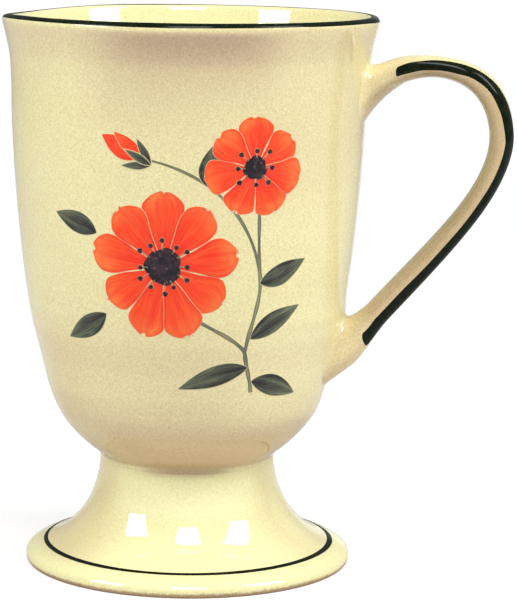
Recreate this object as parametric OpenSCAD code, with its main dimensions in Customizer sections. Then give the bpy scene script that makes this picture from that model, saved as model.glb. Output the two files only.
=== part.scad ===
// A footed mug: a tall bowl on a hollow flared foot, with a strap handle on the +X side.
// The origin is the middle of the foot's standing ring, on the bowl's axis, and +Z is up.

/* [Bowl] */
// Height of the mug from the table to the crest of the lip
mug_height = 130; // [120:1:145]
// Diameter over the flared lip
rim_d = 87.5; // [80:0.5:95]
// How far the lip flares out beyond the waist, the slimmest place below it
lip_flare = 2.65; // [2:0.05:3.4]
// Depth of the waist below the crest of the lip
waist_depth = 19.5; // [15:0.5:24]
// How far the side draws in from the waist to the rounded bottom
side_taper = 5.7; // [4:0.1:7]
// Height of the rounded bottom, from the neck up to the side
belly_height = 28.5; // [24:0.5:32]
// Thickness of the bowl's wall
wall_t = 3.6; // [3:0.1:4.4]
// Thickness of the rounded bead that ends the lip
lip_t = 2.9; // [2.2:0.1:3.4]
// Thickness of the bowl's floor
floor_t = 5.5; // [4.5:0.1:7]

/* [Foot] */
// Height of the foot with its slip joint, from the table to the bowl's underside
foot_height = 26; // [22:0.5:30]
// Diameter of the neck, where the bowl stands on the foot
neck_d = 41; // [38:0.5:44]
// Diameter over the flange at the bottom
flange_d = 76.4; // [72:0.2:84]
// Height of the flange at the painted line
flange_t = 4.4; // [3.8:0.1:5]
// How far the standing ring lies inside the flange's edge
stand_inset = 0.6; // [0.3:0.1:1.5]
// Width of the flat standing ring
stand_width = 6.1; // [4.5:0.1:8]
// Wall of the hollow foot at the neck
foot_wall_t = 4; // [3.4:0.1:5]

/* [Handle] */
// How far the back of the handle stands out from the waist
handle_out = 34.9; // [31:0.1:40]
// Depth below the crest of the lip of the place that stands out furthest
back_depth = 27.2; // [25:0.2:31]
// Depth of the top of the arch below the crest of the lip
arch_depth = 8.6; // [7:0.1:10.5]
// How far the top of the arch stands out from the waist
arch_out = 16.2; // [14:0.1:19]
// Width of the strap from side to side
handle_w = 11; // [9:0.5:13]
// Extra width of the strap where it spreads on to the bowl
handle_spread = 3; // [1:0.5:4]
// Thickness at the top of the arch
arch_t = 4.9; // [4.2:0.1:5.6]
// Thickness at the back
back_t = 5.6; // [4.8:0.1:6.4]
// Thickness where the slanting limb bends down to the bowl
bend_t = 6; // [5:0.1:7]
// How far the outside of that bend stands out from the waist
bend_out = 6.3; // [5:0.1:8]
// Height of the outside of that bend above the neck
bend_rise = 33.5; // [32:0.5:36]
// Depth of the top of the upper root below the crest of the lip
upper_root_depth = 11.5; // [10:0.1:13]
// Height of the upper root on the bowl, from its underside to its top
upper_root_h = 12.9; // [11:0.1:14]
// Height of the top of the lower root above the neck
lower_root_rise = 30.8; // [29:0.2:33]
// Height of the lower root on the bowl, from its tail to its top
lower_root_h = 12; // [10:0.1:14]

/* [Slip joints] */
// Thickness of the slip between two pieces
slip_t = 0.3; // [0.2:0.05:0.5]
// Reach of the smoothed slip round the roots of the handle
slip_fillet = 1.8; // [1:0.1:2.5]

/* [Paint] */
// Thickness of the painted colour
paint_t = 0.12; // [0.08:0.01:0.2]
// How far the line on the foot lies inside the flange's edge
foot_line_inset = 4; // [3:0.1:5]
// Width of the line on the foot's flange
foot_line_w = 0.75; // [0.5:0.05:1.2]
// How far the handle's stripe keeps clear of the bowl at the upper root
stripe_upper_gap = 7.2; // [5:0.1:9]
// How far the handle's stripe keeps clear of the bowl at the lower root
stripe_lower_gap = 8.8; // [6:0.1:11]
// Angle by which the painted spray is turned from the side of the mug towards the handle
spray_turn = 12; // [0:1:20]
// Height of the middle of the large flower above the neck
flower_rise = 50; // [46:0.5:54]
// Diameter of the large flower
flower_d = 34; // [30:0.5:38]
// Number of petals of the large flower
petal_count = 9; // [7:1:11]
// Diameter of the small flower
small_flower_d = 23; // [19:0.5:26]
// Number of petals of the small flower
small_petal_count = 7; // [5:1:9]
// Diameter of the dark centre of the large flower
centre_d = 8.4; // [7:0.2:10]
// Diameter of the dark centre of the small flower
small_centre_d = 5.4; // [4.6:0.2:7]
// Diameter of an anther
dot_d = 1.3; // [0.9:0.1:1.6]
// Length of the bud
bud_length = 10; // [8:0.5:12]
// Length of a large leaf
leaf_length = 19; // [15:0.5:21]
// Width of a large leaf
leaf_w = 5; // [3.5:0.1:6]
// Width of the main stem
stem_w = 1.3; // [0.9:0.1:1.8]

/* [Hidden] */

glaze_colour = "#E8DCA8";
slip_colour = "#DCCB98";
line_colour = "#1F261E";
petal_colour = "#FA6436";
centre_colour = "#2F2734";
stem_colour = "#88876A";
leaf_colour = "#767A66";

// Steps along a curve of an outline, round the lip's bead, and along and round the handle
curve_steps = 12;
bead_steps = 10;
handle_steps = 12;
handle_sides = 24;
$fn = 96;

// Cubic curve from a to d with the handles b and c, without its first point
function curve(a, b, c, d, steps) = [
    for (i = [1:steps])
        let (t = i / steps, u = 1 - t)
        u * u * u * a + 3 * t * u * u * b + 3 * t * t * u * c + t * t * t * d
];

// Points on a circle of radius r round a centre, from one angle to another
function arc(centre, r, from, to, steps) = [
    for (i = [0:steps])
        let (angle = from + (to - from) * i / steps)
        centre + r * [cos(angle), sin(angle)]
];

// The point on the way from a to b that lies across and up by the two given shares
function between(a, b, shares) = [
    a.x + (b.x - a.x) * shares[0],
    a.y + (b.y - a.y) * shares[1]
];

function direction(angle) = [cos(angle), sin(angle)];

half_turn = 180;
full_turn = 2 * half_turn;

// Bowl's outlines, as [radius, height]

neck_r = neck_d / 2;
neck_z = foot_height;
waist_r = rim_d / 2 - lip_flare;
waist_z = mug_height - waist_depth;
belly_z = neck_z + belly_height;
floor_z = neck_z + floor_t;
bead_r = lip_t / 2;
// Angle at which the flare meets the lip's bead
lip_angle = 15;

neck_point = [neck_r, neck_z];
belly_point = [waist_r - side_taper, belly_z];
waist_point = [waist_r, waist_z];
bead_centre = [rim_d / 2 - paint_t - bead_r, mug_height - paint_t - bead_r];
lip_point = bead_centre + bead_r * direction(-lip_angle);

// Where the curves' handles lie, as shares of the runs that they bend
bottom_shares = [0.84, 0.31];
lean_shares = [0.54, 0.194];
lean_down_share = 1.4;
side_share = 0.25;
waist_share = 0.6;
flare_shares = [0.45, 0.63];

// Lean of the side at the belly, which both of the belly's curves share
side_lean = between(belly_point, waist_point, lean_shares) - belly_point;
waist_rise = [0, (bead_centre.y - waist_z) * waist_share];
waist_fall = [0, (waist_z - belly_z) * side_share];

bowl_outer = concat(
    [neck_point],
    curve(neck_point, between(neck_point, belly_point, bottom_shares),
        belly_point - lean_down_share * side_lean, belly_point, curve_steps),
    curve(belly_point, belly_point + side_lean, waist_point - waist_fall, waist_point, curve_steps),
    curve(waist_point, waist_point + waist_rise, between(waist_point, lip_point, flare_shares),
        lip_point, curve_steps)
);

// The inside follows the outside at the wall's thickness and closes over the floor
inner_waist = waist_point - [wall_t, 0];
inner_belly = belly_point - [wall_t, 0];
inner_lip = bead_centre + bead_r * direction(half_turn + lip_angle);
floor_share = 0.45;
floor_point = [neck_r * floor_share, floor_z];
inner_lip_shares = [0.42, 0.25];
inner_bottom_shares = [0.6, 0];

bowl_inner = concat(
    curve(inner_lip, between(inner_lip, inner_waist, inner_lip_shares),
        inner_waist + waist_rise, inner_waist, curve_steps),
    curve(inner_waist, inner_waist - waist_fall, inner_belly + side_lean, inner_belly, curve_steps),
    curve(inner_belly, inner_belly - lean_down_share * side_lean,
        between(floor_point, inner_belly, inner_bottom_shares), floor_point, curve_steps),
    [[0, floor_z]]
);

// Radius of the bowl's outside at a height
radius_table = [for (p = bowl_outer) [p.y, p.x]];
function bowl_radius(z) = lookup(z, radius_table);

// The bowl's outside grown sideways by a distance, as a solid that reaches its axis
module bowl_mass(grow) {
    rotate_extrude()
        polygon(concat(
            [[0, neck_z]],
            [for (p = bowl_outer) p + [grow, 0]],
            [[0, lip_point.y]]
        ));
}

module bowl() {
    color(glaze_colour)
        rotate_extrude()
            polygon(concat(
                [[0, neck_z]],
                bowl_outer,
                arc(bead_centre, bead_r, 0, half_turn, bead_steps),
                [inner_lip],
                bowl_inner
            ));
}

module rim_line() {
    // The line starts at the widest place of the bead and ends a step past its crest
    line_steps = bead_steps / 2 + 1;
    line_end = half_turn * line_steps / bead_steps;
    color(line_colour)
        rotate_extrude()
            polygon(concat(
                arc(bead_centre, bead_r, 0, line_end, line_steps),
                arc(bead_centre, bead_r + paint_t, line_end, 0, line_steps)
            ));
}

// Foot's outlines, as [radius, height]

// Slope of the flange at the painted line
shelf_angle = 20.5;
shelf_slope = direction(-shelf_angle);
foot_top = neck_z - slip_t;
hollow_r = neck_r - foot_wall_t;
line_out = [flange_d / 2 - foot_line_inset, flange_t];
line_in = line_out - foot_line_w * shelf_slope;

// Heights on the flange's rounded edge, as shares of its thickness, and shares of its curves
edge_shares = [0.66, 0.33, 0.12];
edge_in_share = 0.6;
shelf_share = 0.5;
flare_down_share = 0.52;
flare_out_share = 0.62;
roof_shares = [[0.45, 0.14], [1, 0.45]];

foot_top_point = [neck_r, foot_top];
flange_point = [flange_d / 2, flange_t * edge_shares[1]];
stand_point = [flange_d / 2 - stand_inset, 0];
ring_point = stand_point - [stand_width, 0];
roof_point = [hollow_r, foot_top];

foot_flare = concat(
    [foot_top_point],
    curve(foot_top_point, between(foot_top_point, line_in, [0, flare_down_share]),
        line_in - (line_in.x - neck_r) * flare_out_share * shelf_slope, line_in, curve_steps)
);
foot_flange = concat(
    [line_out],
    curve(line_out, line_out + (flange_point.x - line_out.x) * shelf_share * shelf_slope,
        [flange_point.x, flange_t * edge_shares[0]], flange_point, curve_steps / 2),
    curve(flange_point, [flange_point.x, flange_t * edge_shares[2]],
        between(flange_point, stand_point, [edge_in_share, 1]), stand_point, curve_steps / 2)
);

module foot() {
    color(glaze_colour)
        rotate_extrude()
            polygon(concat(
                foot_flare,
                foot_flange,
                [ring_point],
                curve(ring_point, between(ring_point, roof_point, roof_shares[0]),
                    between(ring_point, roof_point, roof_shares[1]), roof_point, curve_steps)
            ));
}

module foot_line() {
    rise = paint_t * direction(90 - shelf_angle);
    color(line_colour)
        rotate_extrude()
            polygon([line_in, line_out, line_out + rise, line_in + rise]);
}

module foot_joint() {
    color(slip_colour)
        translate([0, 0, foot_top])
            rotate_extrude()
                translate([hollow_r, 0])
                    square([foot_wall_t, slip_t]);
}

// Handle: an outer and an inner rail in the plane of X and Z, with a rounded section between them

// Depth to which the rails run into the bowl's wall before the bowl cuts them off
sink_share = 0.4;
root_sink = wall_t * sink_share;
// Slope of the slanting limb
limb_angle = 48.7;
limb_slope = direction(limb_angle);
// Length of the handles that turn a cubic curve into a quarter of an ellipse
quarter_share = 0.5523;
// Sharpness of the section's corners: 2 is an ellipse and more is squarer
section_power = 2.6;

function root_point(z) = [bowl_radius(z) - root_sink, z];

outer_root = root_point(mug_height - upper_root_depth);
outer_top = [waist_r + arch_out, mug_height - arch_depth];
outer_back = [waist_r + handle_out, mug_height - back_depth];
outer_bend = [waist_r + bend_out, neck_z + bend_rise];
outer_tail = root_point(neck_z + lower_root_rise - lower_root_h);

inner_root = root_point(mug_height - upper_root_depth - upper_root_h);
inner_top = outer_top - [0, arch_t];
inner_back = outer_back - [back_t, 0];
inner_bend = outer_bend + bend_t * direction(90 + limb_angle);
inner_tail = root_point(neck_z + lower_root_rise);

// Pulls of the rails' curves, as shares of the arch's run, the limb's drop and the lower root
outer_arch_shares = [[0.44, 0.04], 0.53];
inner_arch_shares = [[0.2, 0.42], 0.32];
outer_limb_shares = [0.27, 0.47];
inner_limb_shares = [0.25, 0.44];
outer_tail_shares = [0.58, [0.78, 0.09]];
inner_tail_shares = [0.26, [0.2, 0.18]];

arch_run = outer_top.x - outer_root.x;
limb_drop = outer_back.y - outer_bend.y;

// One rail of the handle through its five places
function rail(root, top, back, bend, tail, arch_shares, limb_shares, tail_shares) = concat(
    [root],
    curve(root, root + arch_run * arch_shares[0], top - [arch_run * arch_shares[1], 0], top, handle_steps),
    curve(top, between(top, back, [quarter_share, 0]), between(back, top, [0, quarter_share]),
        back, handle_steps),
    curve(back, back - [0, limb_drop * limb_shares[0]], bend + limb_drop * limb_shares[1] * limb_slope,
        bend, handle_steps),
    curve(bend, bend - lower_root_h * tail_shares[0] * limb_slope, tail + lower_root_h * tail_shares[1],
        tail, handle_steps)
);

outer_rail = rail(outer_root, outer_top, outer_back, outer_bend, outer_tail,
    outer_arch_shares, outer_limb_shares, outer_tail_shares);
inner_rail = rail(inner_root, inner_top, inner_back, inner_bend, inner_tail,
    inner_arch_shares, inner_limb_shares, inner_tail_shares);
rail_last = len(outer_rail) - 1;

// How far the strap has spread at a place along the rails, from 0 in its middle to 1 at its ends
function spread(i) =
    let (t = max(0, 1 - min(i, rail_last - i) / handle_steps))
    t * t;

// Angles round the section, from its back towards the near side, between which the stripe lies:
// low on the side over the arch, and up on the shoulder from the back down
arch_stripe = [64, 103];
back_stripe = [28, 80];
function stripe_angles(i) =
    let (t = min(1, max(0, i / handle_steps - 1)))
    arch_stripe + (back_stripe - arch_stripe) * t * t * (3 - 2 * t);

// The section's columns that bound the stripe, and the angle of each column
stripe_columns = [2, 6];
function column_angle(i, k) =
    let (
        edges = stripe_angles(i),
        first = stripe_columns[0],
        last = stripe_columns[1],
        turn = k < first ? k + handle_sides : k
    )
    turn <= last
        ? edges[0] + (edges[1] - edges[0]) * (turn - first) / (last - first)
        : edges[1] + (edges[0] + full_turn - edges[1]) * (turn - last) / (first + handle_sides - last);

// A signed power, which squares up the corners of the section
function rounded(v) = sign(v) * pow(abs(v), 2 / section_power);

// One ring of points round the strap, grown by a distance
function ring(i, grow) =
    let (
        inside = inner_rail[i],
        outside = outer_rail[i],
        middle = (inside + outside) / 2,
        across = (outside - inside) / norm(outside - inside),
        half_t = norm(outside - inside) / 2 + grow,
        half_w = (handle_w + handle_spread * spread(i)) / 2 + grow
    )
    [
        for (k = [0:handle_sides - 1])
            let (
                angle = column_angle(i, k),
                side = -half_w * rounded(sin(angle)),
                place = middle + half_t * rounded(cos(angle)) * across
            )
            [place.x, side, place.y]
    ];

// A closed tube through rings of as many points each
module tube(rings) {
    sides = len(rings[0]);
    last = len(rings) - 1;
    walls = [
        for (i = [0:last - 1])
            for (k = [0:sides - 1])
                let (
                    a = i * sides + k,
                    b = i * sides + (k + 1) % sides,
                    c = b + sides,
                    d = a + sides
                )
                each [[a, c, b], [a, d, c]]
    ];
    first_cap = [for (k = [0:sides - 1]) k];
    last_cap = [for (k = [sides - 1:-1:0]) last * sides + k];
    polyhedron([for (r = rings) each r], concat(walls, [first_cap, last_cap]));
}

module handle() {
    color(glaze_colour)
        difference() {
            tube([for (i = [0:rail_last]) ring(i, 0)]);
            bowl_mass(slip_t);
        }
}

// Slip round a root: rings that swell towards the bowl, less the handle and the bowl
joint_steps = 5;
joint_overlap_share = 0.15;
function fillet_grow(step) =
    let (t = step / joint_steps)
    slip_fillet * ((1 - t) * (1 - t) - joint_overlap_share * t);

module handle_joint(places) {
    color(slip_colour)
        difference() {
            tube([for (i = places) ring(i, fillet_grow(min(i, rail_last - i)))]);
            handle();
            bowl_mass(0);
        }
}

module upper_handle_joint() {
    handle_joint([0:joint_steps]);
}

module lower_handle_joint() {
    handle_joint([rail_last - joint_steps:rail_last]);
}

// How far a place of the outer rail stands out from the bowl
function clear_of_bowl(i) = outer_rail[i].x - bowl_radius(outer_rail[i].y);

// The first place, going along the rails one way, that is clear of the bowl by more than a gap
function stripe_place(i, way, gap) =
    clear_of_bowl(i) > gap ? i : stripe_place(i + way, way, gap);

// The ring between two places at which the rails are clear of the bowl by exactly the gap
function stripe_ring(i, way, gap, grow) =
    let (
        before = clear_of_bowl(i - way),
        share = (gap - before) / (clear_of_bowl(i) - before)
    )
    ring(i - way, grow) * (1 - share) + ring(i, grow) * share;

module handle_stripe() {
    first = stripe_place(0, 1, stripe_upper_gap);
    last = stripe_place(rail_last, -1, stripe_lower_gap);
    function rings(grow) = [
        stripe_ring(first, 1, stripe_upper_gap, grow),
        for (i = [first:last]) ring(i, grow),
        stripe_ring(last, -1, stripe_lower_gap, grow)
    ];
    low = rings(0);
    high = rings(paint_t);
    columns = [stripe_columns[0]:stripe_columns[1]];
    back_columns = [stripe_columns[1]:-1:stripe_columns[0]];
    color(line_colour)
        tube([
            for (i = [0:len(low) - 1])
                concat([for (k = columns) high[i][k]], [for (k = back_columns) low[i][k]])
        ]);
}

// Painted spray, drawn on the bowl as [distance round the girth, height]

// Girth distances are taken at the radius of the bowl half way up its side
spray_r = bowl_radius((belly_z + waist_z) / 2);
function on_bowl(p) = [bowl_radius(p.y) * sin(p.x / spray_r * half_turn / PI), p.y];

// Upright prisms through the bowl's front, one for each outline
module prisms(outlines) {
    rotate([90, 0, spray_turn])
        for (outline = outlines)
            linear_extrude(rim_d / 2)
                polygon([for (p = outline) on_bowl(p)]);
}

// A patch of colour on the bowl's surface
module patch(outlines) {
    intersection() {
        prisms(outlines);
        rotate_extrude()
            polygon(concat(
                bowl_outer,
                [for (i = [len(bowl_outer) - 1:-1:0]) bowl_outer[i] + [paint_t, 0]]
            ));
    }
}

function turned(p, angle) = [
    p.x * cos(angle) - p.y * sin(angle),
    p.x * sin(angle) + p.y * cos(angle)
];

// A brush mark that starts in a point, swells and ends round or, with a tip share, in a leaf's tip
swell_shares = [0.3, 0.35, 0.93];
function mark(place, angle, length, width, tip_share) =
    let (
        from = [0, 0],
        to = [length, 0],
        low = [length * swell_shares[0], width * swell_shares[1]],
        high = [length * (1 - tip_share), width * swell_shares[2]],
        side = concat([from], curve(from, low, high, to, curve_steps))
    )
    [
        for (p = side) place + turned(p, angle),
        for (i = [len(side) - 2:-1:1]) place + turned([side[i].x, -side[i].y], angle)
    ];

// A stroke of a brush along a curve, from one width to another
function stroke(a, b, c, d, from_w, to_w) =
    let (
        path = concat([a], curve(a, b, c, d, curve_steps)),
        last = len(path) - 1,
        edge = [
            for (i = [0:last])
                let (
                    along = path[min(i + 1, last)] - path[max(i - 1, 0)],
                    half = (from_w + (to_w - from_w) * i / last) / 2
                )
                half * [-along.y, along.x] / norm(along)
        ]
    )
    [
        for (i = [0:last]) path[i] + edge[i],
        for (i = [last:-1:0]) path[i] - edge[i]
    ];

function disc(place, d) = [
    for (k = [1:disc_sides]) place + d / 2 * direction(full_turn * k / disc_sides)
];
disc_sides = 16;

// Places of the spray, as shares of the large flower's diameter from its middle
flower_share = -0.2;
small_flower_shares = [0.59, 0.65];
bud_shares = [-0.15, 0.71];
foot_shares = [0.68, -0.88];
fork_shares = [0.59, -0.59];
upper_fork_shares = [0.66, -0.06];
flower_base_shares = [0.06, -0.25];
flower_at = [flower_d * flower_share, neck_z + flower_rise];
small_flower_at = flower_at + flower_d * small_flower_shares;
bud_at = flower_at + flower_d * bud_shares;
bud_angle = 150;

// Petals round a centre, painted by hand and so not all alike in length
petal_length_shares = [1, 0.95, 1, 0.92, 0.98, 1, 0.94, 1, 0.96, 0.93, 1];
petal_root_share = 0.3;
petal_fullness_share = 2.6;
function petals(place, d, centre, count) = [
    for (k = [0:count - 1])
        let (
            angle = full_turn / 4 + full_turn * k / count,
            root = centre * petal_root_share
        )
        mark(place + root * direction(angle), angle,
            (d / 2 - root) * petal_length_shares[k], d * petal_fullness_share / count, 0)
];
bud_width_share = 0.46;
bud_tip_share = 0.2;
all_petals = concat(
    petals(flower_at, flower_d, centre_d, petal_count),
    petals(small_flower_at, small_flower_d, small_centre_d, small_petal_count),
    [mark(bud_at, bud_angle, bud_length, bud_length * bud_width_share, bud_tip_share)]
);
centre_discs = [disc(flower_at, centre_d), disc(small_flower_at, small_centre_d)];

// Anthers in two staggered rings round a dark centre, as many as fit at the spacing
dot_reach_shares = [0.9, 1.5];
dot_spacing_share = 1.6;
function dots(place, centre) =
    let (count = 2 * floor(PI * centre / dot_d / dot_spacing_share / 2))
    [
        for (k = [0:count - 1])
            disc(place + (centre / 2 + dot_d * dot_reach_shares[k % 2]) * direction(full_turn * k / count),
                dot_d)
    ];
all_dots = concat(dots(flower_at, centre_d), dots(small_flower_at, small_centre_d));

// A cup of three sepals, which starts behind the bud and reaches up round it
sepal_angles = [-32, 0, 32];
sepal_root_share = 0.3;
sepal_shares = [0.66, 0.17];
sepal_tip_share = 0.3;
calyx_marks = [
    for (swing = sepal_angles)
        mark(bud_at - sepal_root_share * bud_length * direction(bud_angle), bud_angle + swing,
            bud_length * sepal_shares[0], bud_length * sepal_shares[1], sepal_tip_share)
];

// Stems: their ends, the pulls of their curves and their widths, as shares
stem_shares = [
    [foot_shares, fork_shares, [-0.02, 0.1], [0.02, -0.1], [1, 1]],
    [fork_shares, flower_base_shares, [-0.1, 0.12], [0.16, -0.14], [0.9, 0.8]],
    [fork_shares, upper_fork_shares, [0.02, 0.2], [0.03, -0.2], [1, 0.9]],
    [upper_fork_shares, small_flower_shares, [-0.04, 0.25], [0.06, -0.25], [0.8, 0.7]],
    [upper_fork_shares, bud_shares, [-0.1, 0.42], [0.42, -0.06], [0.8, 0.6]]
];
stem_strokes = [
    for (shares = stem_shares)
        let (
            from = flower_at + flower_d * shares[0],
            to = flower_at + flower_d * shares[1]
        )
        stroke(from, from + flower_d * shares[2], to + flower_d * shares[3], to,
            stem_w * shares[4][0], stem_w * shares[4][1])
];

// Leaves: where each starts and how long it is, as shares, and its angle
leaf_start_shares = [
    [0.67, -0.8], [0.63, -0.7], [0.62, -0.5], [0.66, -0.12], [-0.42, -0.34], [-0.46, 0.2], [0.3, 0.52]
];
leaf_length_shares = [0.85, 1, 0.8, 0.7, 0.75, 0.65, 0.5];
leaf_angles = [-8, 188, 35, 15, 215, 155, 95];
leaf_tip_share = 0.42;
leaf_marks = [
    for (k = [0:len(leaf_angles) - 1])
        mark(flower_at + flower_d * leaf_start_shares[k], leaf_angles[k],
            leaf_length * leaf_length_shares[k], leaf_w, leaf_tip_share)
];

module spray_petals() {
    color(petal_colour)
        difference() {
            patch(all_petals);
            prisms(concat(centre_discs, all_dots, calyx_marks));
        }
}

module spray_centre() {
    color(centre_colour)
        patch(centre_discs);
}

module spray_dots() {
    color(centre_colour)
        patch(all_dots);
}

module spray_calyx() {
    color(leaf_colour)
        patch(calyx_marks);
}

module spray_leaves() {
    color(leaf_colour)
        difference() {
            patch(leaf_marks);
            prisms(concat(all_petals, calyx_marks));
        }
}

module spray_stems() {
    color(stem_colour)
        difference() {
            patch(stem_strokes);
            prisms(concat(all_petals, calyx_marks, leaf_marks));
        }
}

bowl();
foot();
foot_joint();
handle();
upper_handle_joint();
lower_handle_joint();
rim_line();
foot_line();
handle_stripe();
spray_petals();
spray_centre();
spray_dots();
spray_stems();
spray_leaves();
spray_calyx();
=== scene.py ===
import math
from functools import cached_property

import bpy
import numpy as np
from mathutils import Matrix, Vector


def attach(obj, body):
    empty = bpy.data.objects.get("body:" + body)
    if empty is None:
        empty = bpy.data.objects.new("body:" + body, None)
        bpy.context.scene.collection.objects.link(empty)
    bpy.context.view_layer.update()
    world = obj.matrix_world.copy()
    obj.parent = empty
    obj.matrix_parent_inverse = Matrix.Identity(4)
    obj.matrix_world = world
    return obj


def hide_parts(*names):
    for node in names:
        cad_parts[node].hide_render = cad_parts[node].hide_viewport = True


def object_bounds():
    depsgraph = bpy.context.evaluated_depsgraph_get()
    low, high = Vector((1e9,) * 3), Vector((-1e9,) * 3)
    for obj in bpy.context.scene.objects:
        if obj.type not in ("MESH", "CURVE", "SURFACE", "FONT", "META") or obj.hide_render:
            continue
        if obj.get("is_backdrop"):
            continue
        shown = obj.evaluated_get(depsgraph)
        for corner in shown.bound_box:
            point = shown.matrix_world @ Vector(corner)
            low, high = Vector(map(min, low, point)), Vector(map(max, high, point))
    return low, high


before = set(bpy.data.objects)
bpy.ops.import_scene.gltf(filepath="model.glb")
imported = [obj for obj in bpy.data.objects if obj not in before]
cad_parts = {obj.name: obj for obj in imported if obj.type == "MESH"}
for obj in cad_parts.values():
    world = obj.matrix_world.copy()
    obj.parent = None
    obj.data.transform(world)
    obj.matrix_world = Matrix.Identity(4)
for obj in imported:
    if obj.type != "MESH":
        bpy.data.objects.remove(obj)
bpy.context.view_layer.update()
MM = 0.001
BODY = "root"

# A glazed mug on a foot. Its sizes are in millimetres, as its solids have them, first those of the bowl
MUG_HEIGHT = 130
RIM_D = 87.5
LIP_FLARE = 2.65
WAIST_DEPTH = 19.5
SIDE_TAPER = 5.7
BELLY_HEIGHT = 28.5
WALL = 3.6
LIP = 2.9
FLOOR = 5.5
# Of the foot
FOOT_HEIGHT = 26
NECK_D = 41
FLANGE_D = 76.4
FLANGE_T = 4.4
STAND_INSET = 0.6
STAND_WIDTH = 6.1
FOOT_WALL = 4
# Of the handle: depths are below the lip, rises above the neck, and outs beyond the waist
HANDLE_OUT = 34.9
BACK_DEPTH = 27.2
ARCH_DEPTH = 8.6
ARCH_OUT = 16.2
HANDLE_W = 11
HANDLE_SPREAD = 3
ARCH_T = 4.9
BACK_T = 5.6
BEND_T = 6
BEND_OUT = 6.3
BEND_RISE = 33.5
UPPER_ROOT_DEPTH = 11.5
UPPER_ROOT_H = 12.9
LOWER_ROOT_RISE = 30.8
LOWER_ROOT_H = 12
# Of the colours, the slip and the lines
PAINT = 0.12
SLIP = 0.3
LINE_INSET = 4
LINE_W = 0.75
# Of the painted spray
FLOWER_D = 34
FLOWER_RISE = 50
SMALL_D = 23
CENTRE_D = 8.4
SMALL_CENTRE_D = 5.4
DOT_D = 1.3
BUD_L = 10
LEAF_L = 19
LEAF_W = 5
STEM_W = 1.3
SPRAY_TURN = math.radians(12)

# How far the hand-made mug strays from its solids, in millimetres. The foot has a least and a most,
# and the handle's shoulder has its outer and its inner face
SIDE_FULLER = 0.38
LIP_PULL = 0.66
BELLY_PULL = 0.48
BOWL_SHIFT = 0.36
FOOT_SHIFT = 0.75
FOOT_FULLER = (0.15, 0.47)
SHOULDER_FULLER = (0.8, 0.3)
ARCH_RISE = 0.4
LIMB_OUT = 0.42

# The sides of everything that is turned round the axis
SIDES = 288
ROUND = np.linspace(0, 2 * math.pi, SIDES, endpoint=False)


def V(*values):
    """A vector."""
    return np.array(values, float)


def span(value, low, high):
    """How far a value has come from low to high, from 0 to 1."""
    return np.clip((value - low) / (high - low), 0, 1)


def smooth(share):
    """A share from 0 to 1, eased at both ends."""
    return share * share * (3 - 2 * share)


def cubic(a, b, c, d, t):
    """The place at share t of a cubic curve from a to d."""
    u = 1 - t
    return u**3 * a + 3 * t * u * u * b + 3 * t * t * u * c + t**3 * d


def curve(a, b, c, d, steps):
    """The points of a cubic curve, without its first."""
    return cubic(a, b, c, d, np.linspace(0, 1, steps + 1)[1:, None])


def between(a, b, across, up):
    return V(a[0] + (b[0] - a[0]) * across, a[1] + (b[1] - a[1]) * up)


def direction(degrees):
    return V(math.cos(math.radians(degrees)), math.sin(math.radians(degrees)))


def unit(vector):
    return vector / np.linalg.norm(vector)


def turn_from(angle, middle):
    """The turn from one angle to another, at most half a turn either way."""
    return (angle - middle + math.pi) % (2 * math.pi) - math.pi


# Outlines of the bowl, as radius and height
NECK = V(NECK_D / 2, FOOT_HEIGHT)
WAIST = V(RIM_D / 2 - LIP_FLARE, MUG_HEIGHT - WAIST_DEPTH)
BELLY = V(WAIST[0] - SIDE_TAPER, FOOT_HEIGHT + BELLY_HEIGHT)
BEAD_R = LIP / 2
BEAD = V(RIM_D / 2 - PAINT - BEAD_R, MUG_HEIGHT - PAINT - BEAD_R)
BEAD_STEPS = 30
LIP_ANGLE = 15
LIP_POINT = BEAD + BEAD_R * direction(-LIP_ANGLE)
BELLY_RUN = between(BELLY, WAIST, 0.54, 0.194) - BELLY
WAIST_RISE = V(0, (BEAD[1] - WAIST[1]) * 0.6)
WAIST_FALL = V(0, (WAIST[1] - BELLY[1]) * 0.25)
OUTER = np.vstack([
    NECK,
    curve(NECK, between(NECK, BELLY, 0.84, 0.31), BELLY - 1.4 * BELLY_RUN, BELLY, 40),
    curve(BELLY, BELLY + BELLY_RUN, WAIST - WAIST_FALL, WAIST, 60),
    curve(WAIST, WAIST + WAIST_RISE, between(WAIST, LIP_POINT, 0.45, 0.63), LIP_POINT, 30),
])
INNER_WAIST, INNER_BELLY = WAIST - V(WALL, 0), BELLY - V(WALL, 0)
# The inside of the bead runs into the wall where their slopes meet
INNER_ANGLE = 159
INNER_LIP = BEAD + BEAD_R * direction(INNER_ANGLE)
INNER_RUN = 5 * direction(INNER_ANGLE + 90)
FLOOR_POINT = V(NECK[0] * 0.45, FOOT_HEIGHT + FLOOR)
FLOOR_HANDLE = between(FLOOR_POINT, INNER_BELLY, 0.6, 0)
INNER = np.vstack([
    INNER_LIP,
    curve(INNER_LIP, INNER_LIP + INNER_RUN, INNER_WAIST + WAIST_RISE, INNER_WAIST, 30),
    curve(INNER_WAIST, INNER_WAIST - WAIST_FALL, INNER_BELLY + BELLY_RUN, INNER_BELLY, 50),
    curve(INNER_BELLY, INNER_BELLY - 1.4 * BELLY_RUN, FLOOR_HANDLE, FLOOR_POINT, 40),
    V(0, FLOOR_POINT[1]),
])

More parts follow.
